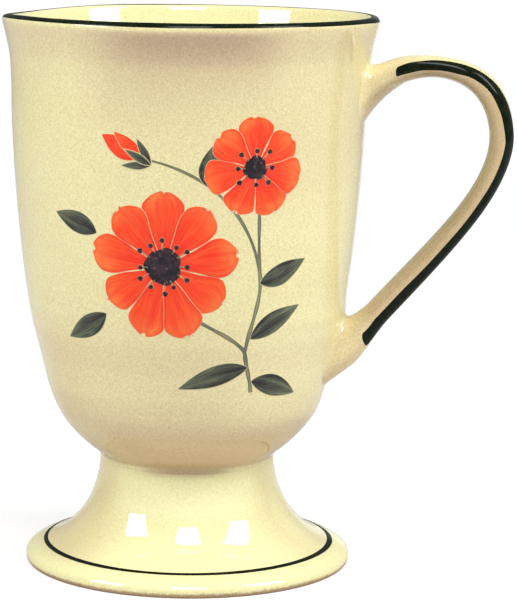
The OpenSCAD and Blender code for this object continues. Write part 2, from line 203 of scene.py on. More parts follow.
# Outlines of the foot. The shelf is the slope of the flange at its line
SHELF = direction(-20.5)
FOOT_TOP = FOOT_HEIGHT - SLIP
LINE_OUT = V(FLANGE_D / 2 - LINE_INSET, FLANGE_T)
LINE_IN = LINE_OUT - LINE_W * SHELF
FLANGE = V(FLANGE_D / 2, FLANGE_T * 0.33)
STAND = V(FLANGE_D / 2 - STAND_INSET, 0)
RING = STAND - V(STAND_WIDTH, 0)
TOP = V(NECK[0], FOOT_TOP)
ROOF = V(NECK[0] - FOOT_WALL, FOOT_TOP)
LINE_RUN = (LINE_IN[0] - TOP[0]) * 0.62 * SHELF
EDGE_RUN = (FLANGE[0] - LINE_OUT[0]) * 0.5 * SHELF
EDGE_STEPS = 20
FLARE = np.vstack([TOP, curve(TOP, between(TOP, LINE_IN, 0, 0.52), LINE_IN - LINE_RUN, LINE_IN, 48)])
EDGE = np.vstack([
    LINE_OUT,
    curve(LINE_OUT, LINE_OUT + EDGE_RUN, V(FLANGE[0], FLANGE_T * 0.66), FLANGE, EDGE_STEPS),
    curve(FLANGE, V(FLANGE[0], FLANGE_T * 0.12), between(FLANGE, STAND, 0.6, 1), STAND, 12),
])
HOLLOW = np.vstack([
    RING,
    curve(RING, between(RING, ROOF, 0.45, 0.14), between(RING, ROOF, 1, 0.45), ROOF, 36),
])


# The bowl's surface
def bowl_radius(z):
    return np.interp(z, OUTER[:, 1], OUTER[:, 0])


def bowl_slope(z, near=0.4):
    return (bowl_radius(z + near) - bowl_radius(z - near)) / (2 * near)


def wobble(angle, z):
    """How far the hand-finished wall strays from the true round. At the lip it only stands in."""
    low = 0.05 * np.sin(2 * angle + 0.7) + 0.035 * np.sin(3 * angle - 1.1 + z / 60)
    ridges = 0.012 * np.sin(z * 1.35 + 0.9 * np.sin(angle + 0.4)) + 0.008 * np.sin(z * 0.71 - angle)
    return low + ridges - 0.1 + SIDE_FULLER * smooth(span(z, 33, 47) * span(z, 126, 116))


def pulled(angle, z):
    """How far the wall is drawn out towards the handle, at the lip and at the handle's lower root."""
    amount = LIP_PULL * smooth(span(z, 104, 116)) + BELLY_PULL * smooth(span(z, 31, 38) * span(z, 66, 61))
    return amount * np.clip(np.cos(angle - 0.14), 0, 1) ** 3


def wall_radius(angle, z):
    return bowl_radius(z) + wobble(angle, z) + pulled(angle, z)


def bowl_shape(angle, z):
    """How far the made wall stands off the true one. It begins at the neck."""
    grown = span(z, FOOT_HEIGHT, FOOT_HEIGHT + 6)
    return np.minimum(wobble(angle, z), SIDE_FULLER) * grown + pulled(angle, z)


def lean(points):
    """Slides the bottom of the bowl a little sideways: it warped in the kiln."""
    moved = points.copy()
    moved[..., 0] += BOWL_SHIFT * smooth(span(points[..., 2], 44, 30))
    return moved


def pressed(points):
    """The lip was pressed flatter at one place, at the left."""
    moved = points.copy()
    off = np.abs(turn_from(np.arctan2(points[..., 1], points[..., 0]), math.radians(170)))
    near = smooth(span(off, math.radians(50), 0))
    moved[..., 2] -= 0.5 * near * np.maximum(0, points[..., 2] - 128.1)
    return moved


def foot_shift(points):
    """Makes the foot a little fuller, and slides it sideways, the more the lower it lies."""
    moved, z = lean(points), points[..., 2]
    least, most = FOOT_FULLER
    fuller = least + (most - least) * smooth(span(z, 26, 14))
    radius = np.maximum(np.hypot(points[..., 0], points[..., 1]), 1)
    moved[..., :2] *= (1 + fuller / radius)[..., None]
    moved[..., 0] += (FOOT_SHIFT - BOWL_SHIFT) * np.clip(1 - z / FOOT_TOP, 0, 1) ** 1.3
    return moved


# Girth distances are true at the radius half way up the side
SPRAY_R = float(bowl_radius((BELLY[1] + WAIST[1]) / 2))


def on_bowl(girth, z, lift):
    """Points on the bowl's front, lifted off its surface, from distances round the girth and heights."""
    angle = girth / SPRAY_R + SPRAY_TURN - math.pi / 2
    slope = bowl_slope(z)
    out = lift / np.sqrt(1 + slope**2)
    r = wall_radius(angle, z) + out
    return lean(np.stack([r * np.cos(angle), r * np.sin(angle), z - slope * out], -1))


# Meshes and their attributes
def grid_faces(rows, columns, close=False, ring=False):
    """Quads between rows of points. close joins the last column to the first, and ring the last row."""
    faces = []
    for i in range(rows if ring else rows - 1):
        here, there = i * columns, (i + 1) % rows * columns
        for k in range(columns if close else columns - 1):
            n = (k + 1) % columns
            faces.append((here + k, here + n, there + n, there + k))
    return faces


def add_object(name, data):
    made = bpy.data.objects.new(name, data)
    bpy.context.scene.collection.objects.link(made)
    return made


def piece(name, points, faces, material, node, values=None, flip=False, sharp=40):
    """A smooth-shaded piece of the mug, from points in millimetres."""
    if flip:
        faces = [tuple(reversed(f)) for f in faces]
    mesh = bpy.data.meshes.new(name)
    mesh.from_pydata([tuple(p) for p in np.asarray(points) * MM], [], faces)
    mesh.validate()
    mesh.polygons.foreach_set("use_smooth", [True] * len(mesh.polygons))
    mesh.set_sharp_from_angle(angle=math.radians(sharp))
    for key, data in (values or {}).items():
        attribute = mesh.attributes.new(key, "FLOAT", "POINT")
        attribute.data.foreach_set("value", np.asarray(data, np.float32))
    mesh.materials.append(material)
    made = add_object(name, mesh)
    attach(made, BODY)
    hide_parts(node)


def revolve(outline, shape=None, ring=False):
    """Points and outward quads of an outline turned round the axis. An end on the axis is one point."""
    points, rows = [], []
    for radius, z in outline:
        first = len(points)
        if radius < 1e-6:
            points.append((0, 0, z))
        else:
            r = radius + (shape(ROUND, z) if shape else 0 * ROUND)
            points += [(x, y, z) for x, y in zip(r * np.cos(ROUND), r * np.sin(ROUND))]
        rows.append(range(first, len(points)))
    faces = []
    for low, high in zip(rows, rows[1:] + (rows[:1] if ring else [])):
        for k in range(SIDES):
            n = (k + 1) % SIDES
            if len(low) == 1:
                faces.append((low[0], high[n], high[k]))
            elif len(high) == 1:
                faces.append((low[k], low[n], high[0]))
            else:
                faces.append((low[k], low[n], high[n], high[k]))
    return np.array(points), faces


# Materials
def srgb(red, green, blue):
    """A colour as it is seen, from 0 to 255, as linear light."""
    shares = [v / 255 for v in (red, green, blue)]
    return tuple(v / 12.92 if v < 0.04045 else ((v + 0.055) / 1.055) ** 2.4 for v in shares) + (1,)


class Nodes:
    """Short calls that build the nodes of one material or of the world."""

    def __init__(self, owner, clear=False):
        owner.use_nodes = True
        self.owner, self.tree = owner, owner.node_tree
        if clear:
            self.tree.nodes.clear()

    def feed(self, socket, value):
        """Sets a socket to a value, or links another node's output to it."""
        if isinstance(value, bpy.types.NodeSocket):
            self.tree.links.new(value, socket)
        else:
            socket.default_value = value

    def new(self, kind, *values, **settings):
        """A new node, with its settings, and with values or links fed to its first inputs."""
        node = self.tree.nodes.new(kind)
        for name, value in settings.items():
            setattr(node, name, value)
        for socket, value in zip(node.inputs, values):
            self.feed(socket, value)
        return node

    @cached_property
    def place(self):
        """The place in the object's own space, in metres."""
        return self.new("ShaderNodeTexCoord").outputs["Object"]

    @cached_property
    def axes(self):
        """The three axes of the place, in millimetres."""
        scaled = self.new("ShaderNodeVectorMath", self.place, operation="SCALE")
        scaled.inputs["Scale"].default_value = 1 / MM
        return self.parts(scaled.outputs["Vector"])

    def parts(self, vector):
        return self.new("ShaderNodeSeparateXYZ", vector).outputs

    def math(self, kind, value, *others, clamp=False):
        """One kind of sum done on a value, or with each further value in turn."""
        for other in others or (0.0,):
            value = self.new("ShaderNodeMath", value, other, operation=kind, use_clamp=clamp).outputs[0]
        return value

    def plus(self, *values):
        return self.math("ADD", *values)

    def times(self, *values):
        return self.math("MULTIPLY", *values)

    def most(self, *values):
        return self.math("MAXIMUM", *values)

    def ramp(self, value, *stops):
        node = self.new("ShaderNodeValToRGB", value)
        elements = node.color_ramp.elements
        while len(elements) < len(stops):
            elements.new(0.5)
        for element, (at, colour) in zip(elements, stops):
            element.position = at
            element.color = colour
        return node.outputs[0]

    def span(self, value, low, high, out_low=0.0, out_high=1.0):
        return self.new("ShaderNodeMapRange", value, low, high, out_low, out_high).outputs[0]

    def ease(self, value, low, high, out_low=0.0, out_high=1.0):
        """A span with soft ends."""
        limits = (low, high, out_low, out_high)
        return self.new("ShaderNodeMapRange", value, *limits, interpolation_type="SMOOTHSTEP").outputs[0]

    def mix(self, share, a, b, kind="MIX"):
        node = self.new("ShaderNodeMix", share, data_type="RGBA", blend_type=kind)
        self.feed(node.inputs[6], a)
        self.feed(node.inputs[7], b)
        return node.outputs[2]

    def noise(self, scale, detail=2.0, rough=0.5, seed=0.0):
        """Noise over the object's own space. The scale is in cycles per metre."""
        moved = self.new("ShaderNodeMapping", self.place, (seed, seed * 0.37, seed * 0.71)).outputs[0]
        return self.new("ShaderNodeTexNoise", moved, 0, scale, detail, rough).outputs[0]

    def specks(self, scale, seed, size, chosen, number=0):
        """Round specks in some of the cells of a random pattern, chosen by one of each cell's numbers."""
        moved = self.new("ShaderNodeMapping", self.place, (seed, seed * 0.53, seed * 0.19)).outputs[0]
        cells = self.new("ShaderNodeTexVoronoi", moved, 0, scale).outputs
        pick = self.parts(cells["Color"])[number]
        return self.times(self.span(cells["Distance"], *size, 1, 0), self.span(pick, *chosen))

    def streaks(self, run, cross, low=0.36, high=0.66):
        """Brush streaks along a mark, from its along, across and seed values."""
        scales = {"along": run, "across": cross, "seed": 9.0}
        scaled = [self.times(self.attribute(name), scale) for name, scale in scales.items()]
        place = self.new("ShaderNodeCombineXYZ", *scaled).outputs[0]
        return self.span(self.new("ShaderNodeTexNoise", place, 0, 1.6, 3).outputs[0], low, high)

    def attribute(self, name):
        return self.new("ShaderNodeAttribute", attribute_name=name).outputs["Fac"]

    def bump(self, height, distance, strength):
        node = self.new("ShaderNodeBump", strength, distance)
        self.feed(node.inputs["Height"], height)
        return node.outputs[0]


# Painted shade and light: the glaze's colour from what faces down, darker and tan, to what faces up, paler
# and yellower
GLAZE_SHADE_TONES = (
    (0.08, srgb(213, 188, 152)), (0.26, srgb(221, 202, 163)), (0.36, srgb(238, 225, 179)),
    (0.43, srgb(247, 242, 186)), (0.52, srgb(247, 243, 186)), (0.85, srgb(247, 246, 186)),
)
GRIT = 0.8


def shaded_glaze_colour(n):
    """Cream glaze with painted shade and light: tan on what faces down, yellower on what faces up, under a
    slow cloud of tone.
    """
    up = n.parts(n.new("ShaderNodeNewGeometry").outputs["Normal"])["Z"]
    cloud = n.ease(n.noise(34, 3, 0.55), 0.35, 0.68)
    return n.mix(n.times(cloud, 0.22), n.ramp(n.span(up, -1, 1), *GLAZE_SHADE_TONES), srgb(231, 215, 168))


def speckled(n, colour, grit=GRIT):
    """The brown speckle of the clay, in two sizes thinned out by a slow noise, and a fine sandy grain."""
    patches = n.span(n.noise(90, 2, 0.6, seed=4), 0.3, 0.55, 0.3 * grit, grit)
    fine = n.times(n.specks(1500, 0, (0.16, 0.34), (0.62, 0.7)), patches, 0.28)
    spots = n.times(n.specks(420, 2.3, (0.07, 0.16), (0.86, 0.9), 1), 0.22)
    grain = n.times(n.span(n.noise(1700, 3, 0.8, seed=1.7), 0.36, 0.66), 0.46 * grit)
    sand = n.times(n.span(n.noise(3400, 1, 0.5, seed=6.1), 0.38, 0.62), 0.6 * grit)
    for share, tint in ((fine, (0.5, 0.32, 0.26, 1)), (spots, (0.39, 0.24, 0.19, 1)),
                        (grain, (0.69, 0.54, 0.46, 1)), (sand, (0.78, 0.7, 0.64, 1))):
        colour = n.mix(share, colour, tint, "MULTIPLY")
    return colour


def glossy(n, colour, coat=1.0, rough=0.035):
    """The clear coat that lies over everything."""
    shader = n.tree.nodes["Principled BSDF"].inputs
    shader["Roughness"].default_value = 0.5
    shader["Specular IOR Level"].default_value = 0.0
    shader["Coat Roughness"].default_value = rough
    shader["Coat IOR"].default_value = 1.62
    waves = n.plus(n.noise(55, seed=3.1), n.times(n.noise(420, seed=7.7), 0.12))
    n.feed(shader["Coat Normal"], n.bump(waves, 0.0003, 0.35))
    n.feed(shader["Normal"], n.bump(n.noise(900, seed=5.2), 0.00004, 0.5))
    n.feed(shader["Coat Weight"], coat)
    n.feed(shader["Base Color"], colour)


FRONT = direction(-80)


def frontal(n):
    """The cosine of the turn round the axis away from the mug's front."""
    x, y, _ = n.axes
    out = n.math("SQRT", n.plus(n.times(x, x), n.times(y, y)))
    return n.math("DIVIDE", n.plus(n.times(x, FRONT[0]), n.times(y, FRONT[1])), out)


def under_lip_painted_shade(n):
    """Painted shade: the glaze is darker just under the lip's line at the front."""
    z = n.axes["Z"]
    return n.times(n.ease(z, 118, 125.8), n.ease(z, 127.9, 126.8), n.ease(frontal(n), 0.86, 0.99))


def bare_foot(n):
    """Speckled bare clay at the very edge of the standing ring."""
    ragged = n.plus(n.axes["Z"], n.times(n.plus(n.noise(900, 3, 0.7), -0.5), 2.2))
    return n.ease(ragged, 0.7, 1.3, 1.5, 0)


def plain_glaze(name, tan_shade_colour, tan, light=None, painted_side_shade=None, shade=None, bare=False, grit=GRIT):
    """Cream glaze. The second argument is a tan colour that the third mixes in: real tan where the foot's
    glaze stops short, painted shade everywhere else.
    light is painted light where it is pale, the fifth is painted shade in peach, and shade is painted shade,
    or bare clay if bare is set."""
    n = Nodes(bpy.data.materials.new(name))
    coat = 1.0
    # Tan glaze, and painted shade
    colour = n.mix(tan(n), shaded_glaze_colour(n), srgb(*tan_shade_colour))
    # Painted shade in peach
    if painted_side_shade:
        colour = n.mix(painted_side_shade(n), colour, srgb(224, 190, 132))
    # Painted shade towards brown, or on the foot bare clay that loses its coat
    if shade:
        depth = shade(n)
        colour = n.mix(n.times(depth, 0.42), colour, srgb(164, 139, 115))
        coat = n.math("SUBTRACT", 1.0, depth, clamp=True) if bare else coat
    # Painted light: paler, yellower glaze
    if light:
        colour = n.mix(light(n), colour, srgb(255, 255, 201))
    glossy(n, speckled(n, colour, grit), coat)
    return n.owner


def foot_tan_and_painted_shade(n):
    """Real tan where the glaze stops short of the standing ring, and painted shade in the crease under the
    bowl and on the flare's flanks.
    """
    z = n.axes["Z"]
    low = n.ease(n.plus(z, n.times(n.noise(260), 0.8)), 0.7, 1.8, 0.9, 0)
    # Painted shade in the crease, most of all at the front
    crease = n.times(n.ease(z, 22.9, 25.7, 0, 0.88), n.ease(frontal(n), 0.82, 0.995, 0.1, 1))
    # Painted shade: the flare's flanks are a little darker and pinker than its front and back
    flank = n.times(n.ease(n.math("ABSOLUTE", frontal(n)), 0.85, 0.5, 0, 0.3), n.ease(z, 3.5, 5.5))
    flank = n.times(flank, n.span(n.noise(70, seed=2.2), 0.3, 0.6, 0.5, 1))
    return n.most(low, flank, crease)


def foot_painted_light(n):
    """Painted light: paler glaze below the crease, most at the front and back and towards the right."""
    x, _, z = n.axes
    roll = n.times(n.ease(z, 24.5, 21.5), n.ease(z, 12.5, 17.5))
    lit = n.times(n.ease(n.math("ABSOLUTE", frontal(n)), 0.55, 0.95), n.span(x, -18, 14, 0.65, 1))
    return n.times(roll, lit)


def foot_left_painted_shade(n):
    """Painted shade: peach on the flare's left."""
    x, _, z = n.axes
    return n.times(n.ease(x, -8, -30, 0, 0.34), n.ease(z, 3, 6))


def bowl_painted_shade(n):
    """Painted shade: darker tan glaze round the neck at the front, at the upper right, and in a soft band
    under the lip, but not inside.
    """
    x, _, z = n.axes
    low = n.times(n.ease(z, 33.5, 28.5), n.ease(frontal(n), 0.8, 0.985, 0.3, 1))
    drift = n.times(n.plus(n.noise(45, seed=8), -0.5), 6)
    under = n.times(n.ease(n.plus(z, drift), 98, 126.2), n.span(z, 128.3, 127.6))
    under = n.times(under, n.ease(frontal(n), 0.75, 0.998, 0.12, 0.72))
    right = n.times(n.ease(x, 0, 22, 0, 0.24), n.ease(z, 82, 104))
    outside = n.math("SUBTRACT", 1.0, n.attribute("inside"))
    return n.times(n.most(low, right, under), outside)


def bowl_painted_light(n):
    """Painted light: a paler inside, a paler lower right, and a pale patch low on the left."""
    x, _, z = n.axes
    right = n.times(n.ease(x, 8, 26, 0, 0.32), n.ease(z, 75, 50), n.ease(z, 34, 44))
    left = n.times(n.ease(x, -6, -22, 0, 0.3), n.ease(z, 41, 34))
    return n.most(right, left, n.times(n.attribute("inside"), 0.4))


def slip_painted_shade(n):
    """Painted shade in the crease: darker tan over the slip, most of all at the front."""
    return n.times(n.span(n.noise(120), 0.4, 0.7, 0.85, 1), n.ease(frontal(n), 0.82, 0.995, 0.15, 1))


def handle_material():
    """Cream glaze with painted shade: pinker and darker on the strap's sides, and olive towards the top of
    its inner face.
    """
    n = Nodes(bpy.data.materials.new("handle_glaze"))
    side, root, inner = (n.attribute(name) for name in ("side", "root", "inner"))
    z = n.axes["Z"]
    # Painted shade: the strap's sides are pinker and darker, more so higher up
    low_shaded_side = n.ramp(inner, (0.0, srgb(226, 202, 160)), (0.3, srgb(206, 179, 141)))
    high_shaded_side = n.ramp(inner, (0.0, srgb(212, 187, 146)), (0.3, srgb(195, 169, 129)))
    shaded_side = n.mix(n.span(z, 62, 78), low_shaded_side, high_shaded_side)
    colour = n.mix(n.times(side, n.span(root, 0, 1, 1, 0.25), 0.95), shaded_glaze_colour(n), shaded_side)
    colour = n.mix(n.times(root, 0.6), colour, srgb(247, 230, 177))
    # Painted shade: olive on the upper inner face, fading out at the roots
    olive = n.mix(n.span(z, 58, 85), srgb(206, 178, 158), srgb(144, 133, 101))
    colour = n.mix(n.times(n.span(inner, 0.05, 0.6, 0, 0.62), n.span(root, 0, 1, 1, 0.2)), colour, olive)
    glossy(n, speckled(n, colour))
    return n.owner


def paint_material(name, paint, fade, coat=0.5, rough=0.035):
    """Colour that thins out over its edge, for fade millimetres, and shines less than the glaze."""
    n = Nodes(bpy.data.materials.new(name))
    grain = n.times(n.plus(n.noise(1500, 3, 0.6), -0.5), 0.25 * fade)
    cover = n.ease(n.plus(n.attribute("edge"), grain), 0.02, fade)
    glossy(n, n.mix(cover, speckled(n, shaded_glaze_colour(n)), paint(n)), coat, rough)
    return n.owner


def line_colour(n):
    """Nearly black green."""
    return n.mix(n.span(n.noise(700, 3, 0.6), 0.35, 0.7, 0, 0.5), srgb(5, 15, 5), srgb(33, 43, 21))


def petal_colour(n):
    """Brushed orange-red: deep at the root, lighter outwards, with streaks and darker pooled edges."""
    wash = n.plus(n.times(n.attribute("along"), 0.75), n.times(n.noise(130, seed=6), 0.5))
    colour = n.ramp(wash, (0.22, srgb(206, 18, 8)), (0.42, srgb(248, 34, 8)), (0.74, srgb(254, 66, 18)),
                    (1.0, srgb(254, 122, 58)))
    colour = n.mix(n.times(n.streaks(1.6, 6.5), 0.34), colour, srgb(254, 132, 66))
    colour = n.mix(n.times(n.streaks(0.9, 1.7, 0.42, 0.62), 0.4), colour, srgb(238, 22, 6))
    return n.mix(n.ease(n.attribute("edge"), 0.3, 1.1, 0.3, 0), colour, srgb(222, 32, 12))


def centre_colour(n):
    """Dark dabs, with a few paler specks."""
    colour = n.mix(n.ease(n.noise(620, 3, 0.6), 0.4, 0.6, 0, 0.8), srgb(8, 4, 14), srgb(58, 38, 50))
    return n.mix(n.times(n.specks(760, 1.1, (0.1, 0.3), (0.5, 0.6)), 0.8), colour, srgb(104, 76, 78))


def leaf_colour(n):
    """Grey-green, with a dark purple stroke down the middle and along one side."""
    along, across = n.attribute("along"), n.attribute("across")
    wash = n.plus(n.times(along, 0.6), n.times(n.noise(190, seed=2), 0.6))
    colour = n.ramp(wash, (0.25, srgb(46, 54, 46)), (0.6, srgb(82, 92, 74)), (0.95, srgb(124, 132, 102)))
    middle = n.math("ABSOLUTE", n.plus(across, n.times(n.noise(240), 0.3)))
    rib = n.times(n.ease(middle, 0.14, 0.56, 1, 0), n.span(along, 0.1, 0.95, 0.95, 0.25))
    side = n.times(n.ease(across, 0.3, 0.8), n.span(n.noise(260, seed=9), 0.36, 0.56), 0.85)
    colour = n.mix(n.times(n.streaks(1.1, 3.2, 0.4, 0.6), 0.55), colour, srgb(48, 50, 46))
    colour = n.mix(n.times(n.streaks(2.2, 7.0, 0.5, 0.7), 0.5), colour, srgb(160, 158, 126))
    colour = n.mix(n.times(rib, n.streaks(1.5, 5.0, 0.3, 0.5)), colour, srgb(30, 18, 32))
    return n.mix(side, colour, srgb(28, 17, 30))


def stem_colour(n):
    """Pale olive with darker edges."""
    colour = n.mix(n.span(n.noise(240), 0.35, 0.65), srgb(112, 114, 92), srgb(150, 146, 108))
    return n.mix(n.ease(n.attribute("edge"), 0.3, 0.6, 0.5, 0), colour, srgb(74, 76, 68))


bowl_glaze = plain_glaze("bowl_glaze", (209, 182, 150), bowl_painted_shade, bowl_painted_light, shade=under_lip_painted_shade)
foot_glaze = plain_glaze("foot_glaze", (192, 171, 132), foot_tan_and_painted_shade, foot_painted_light, foot_left_painted_shade, bare_foot,
                         bare=True, grit=0.55)
slip_glaze = plain_glaze("slip_glaze", (192, 169, 132), slip_painted_shade)
handle_glaze = handle_material()
line_paint = paint_material("line_paint", line_colour, 0.1, coat=0.2, rough=0.09)
petal_paint = paint_material("petal_paint", petal_colour, 0.24)
centre_paint = paint_material("centre_paint", centre_colour, 0.14)
leaf_paint = paint_material("leaf_paint", leaf_colour, 0.26)
stem_paint = paint_material("stem_paint", stem_colour, 0.2)

# Bowl
bead = [BEAD + BEAD_R * direction(a) for a in np.linspace(-LIP_ANGLE, INNER_ANGLE, BEAD_STEPS + 1)]
bottom = [V(0, FOOT_HEIGHT), V(NECK[0] - 2.5, FOOT_HEIGHT)]
points, faces = revolve(np.vstack(bottom + [OUTER] + bead[1:-1] + [INNER]), bowl_shape)
# The inside begins two thirds of the way over the bead
first = len(bottom) + len(OUTER) + BEAD_STEPS * 2 // 3
inside = span(np.arange(len(points)) / SIDES, first, first + 8)
piece("bowl_body", pressed(lean(points)), faces, bowl_glaze, "bowl", {"inside": inside})

# Foot, whose top ring closes the wall under the slip
points, faces = revolve(np.vstack([FLARE, EDGE, HOLLOW])[::-1], ring=True)
piece("foot_body", foot_shift(points), faces, foot_glaze, "foot")

# Slip in the crease between the bowl and the foot, smoothed with a wet brush
REACH = 1.1
crease = V(NECK[0], FOOT_HEIGHT - 0.1)
low = V(np.interp(FOOT_TOP - REACH, FLARE[::-1, 1], FLARE[::-1, 0]), FOOT_TOP - REACH)
start = OUTER[:12]
run = np.r_[0, np.cumsum(np.hypot(*np.diff(start, axis=0).T))]
high = V(np.interp(REACH, run, start[:, 0]), np.interp(REACH, run, start[:, 1]))
points, faces = revolve(np.vstack([
    V(ROOF[0], FOOT_TOP), V(low[0] - 0.6, FOOT_TOP), low - V(0.05, 0.25),
    low, curve(low, crease, crease, high, 10),
    high + V(0.1, 0.3), V(NECK[0] - 0.6, FOOT_HEIGHT), V(ROOF[0], FOOT_HEIGHT),
]), ring=True)
piece("foot_joint_slip", foot_shift(points), faces, slip_glaze, "foot_joint")

# Handle
LIMB_ANGLE = 48.7
LIMB = direction(LIMB_ANGLE)
ROUNDING = 0.5523


def root_point(z):
    """A place a little inside the bowl's wall."""
    return V(bowl_radius(z) - WALL * 0.4, z)


outer_places = [
    root_point(MUG_HEIGHT - UPPER_ROOT_DEPTH),
    V(WAIST[0] + ARCH_OUT, MUG_HEIGHT - ARCH_DEPTH),
    V(WAIST[0] + HANDLE_OUT, MUG_HEIGHT - BACK_DEPTH),
    V(WAIST[0] + BEND_OUT, FOOT_HEIGHT + BEND_RISE),
    root_point(FOOT_HEIGHT + LOWER_ROOT_RISE - LOWER_ROOT_H),
]
inner_places = [
    root_point(MUG_HEIGHT - UPPER_ROOT_DEPTH - UPPER_ROOT_H),
    outer_places[1] - V(0, ARCH_T),
    outer_places[2] - V(BACK_T, 0),
    outer_places[3] + BEND_T * direction(LIMB_ANGLE + 90),
    root_point(FOOT_HEIGHT + LOWER_ROOT_RISE),
]
ARCH_RUN = outer_places[1][0] - outer_places[0][0]
LIMB_DROP = outer_places[2][1] - outer_places[3][1]


def rail_curves(places, arch, limb, tail):
    """The four cubic curves of one rail, as their control points."""
    root, top, back, bend, end = places
    return [
        (root, root + ARCH_RUN * V(*arch[0]), top - V(ARCH_RUN * arch[1], 0), top),
        (top, between(top, back, ROUNDING, 0), between(back, top, 0, ROUNDING), back),
        (back, back - V(0, LIMB_DROP * limb[0]), bend + LIMB_DROP * limb[1] * LIMB, bend),
        (bend, bend - LOWER_ROOT_H * tail[0] * LIMB, end + LOWER_ROOT_H * V(*tail[1]), end),
    ]


OUTER_RAIL = rail_curves(outer_places, ((0.44, 0.04), 0.53), (0.27, 0.47), (0.58, (0.78, 0.09)))
INNER_RAIL = rail_curves(inner_places, ((0.2, 0.42), 0.32), (0.25, 0.44), (0.26, (0.2, 0.18)))
SQUARENESS = 2.6


def rail_at(curves, t):
    i = min(3, max(0, int(t)))
    return cubic(*curves[i], t - i)


def handle_at(t, degrees, lift=0.0):
    """Points round the handle, from 0 to 4 along it, at angles from its back to the near side."""
    outside, inside = rail_at(OUTER_RAIL, t), rail_at(INNER_RAIL, t)
    across = unit(outside - inside)
    # The arch's top rises a little, the shoulder is fuller, and the limb stands out
    shoulder = math.sin(math.pi * span(t, 1.05, 1.95)) ** 2
    limb = V(LIMB_OUT * smooth(span(t, 2.05, 2.5) * span(t, 3.95, 3.45)), 0)
    arch = V(0, ARCH_RISE * math.sin(math.pi * span(t, 0, 1.15)) ** 2)
    outside = outside + SHOULDER_FULLER[0] * shoulder * across + limb + arch
    inside = inside + SHOULDER_FULLER[1] * shoulder * across + limb
    middle = (outside + inside) / 2
    half_t = np.linalg.norm(outside - inside) / 2
    half_w = (HANDLE_W + HANDLE_SPREAD * max(0, 1 - min(t, 4 - t)) ** 2) / 2
    angles = np.radians(degrees)
    cosine, sine = np.cos(angles), np.sin(angles)
    power = 2 / SQUARENESS
    side = half_w * np.sign(sine) * np.abs(sine) ** power
    out = half_t * np.sign(cosine) * np.abs(cosine) ** power
    if lift:
        # The outward normal of the rounded section
        nx = np.sign(cosine) * np.abs(cosine) ** (2 - power) / half_t
        ny = np.sign(sine) * np.abs(sine) ** (2 - power) / half_w
        size = np.hypot(nx, ny)
        out, side = out + lift * nx / size, side + lift * ny / size
    return np.stack([middle[0] + out * across[0], -side, middle[1] + out * across[1]], -1)


def strap_values(degrees):
    """How far points round the handle are on its sides, and on its inner face."""
    return np.abs(np.sin(np.radians(degrees))) ** 3, np.clip(-np.cos(np.radians(degrees)), 0, 1)


H_SIDES, H_STEPS = 96, 72
around = np.arange(H_SIDES) * 360 / H_SIDES
places = np.linspace(0, 4, 4 * H_STEPS + 1)
count = len(places)
points = np.vstack([handle_at(t, around) for t in places])
faces = grid_faces(count, H_SIDES, close=True)
faces += [tuple(range(H_SIDES))[::-1], tuple(range((count - 1) * H_SIDES, count * H_SIDES))]
side, inner = (np.tile(value, count) for value in strap_values(around))
root = np.repeat(span(np.minimum(places, 4 - places), 1, 0.4), H_SIDES)
values = {"side": side, "inner": inner, "root": root}
piece("handle_strap", points, faces, handle_glaze, "handle", values, sharp=60)


# Slip smoothed round the roots
TUCK, SINK = 0.35, 0.06


def outside_bowl(p):
    return math.hypot(p[0], p[1]) - wall_radius(math.atan2(p[1], p[0]), p[2])


def root_place(k, start, end, gap):
    """Where the line at angle k along the handle is a distance clear of the bowl, between two places."""
    low, high = start, end
    for _ in range(40):
        t = (low + high) / 2
        if outside_bowl(handle_at(t, [k])[0]) < gap:
            low = t
        else:
            high = t
    return (low + high) / 2


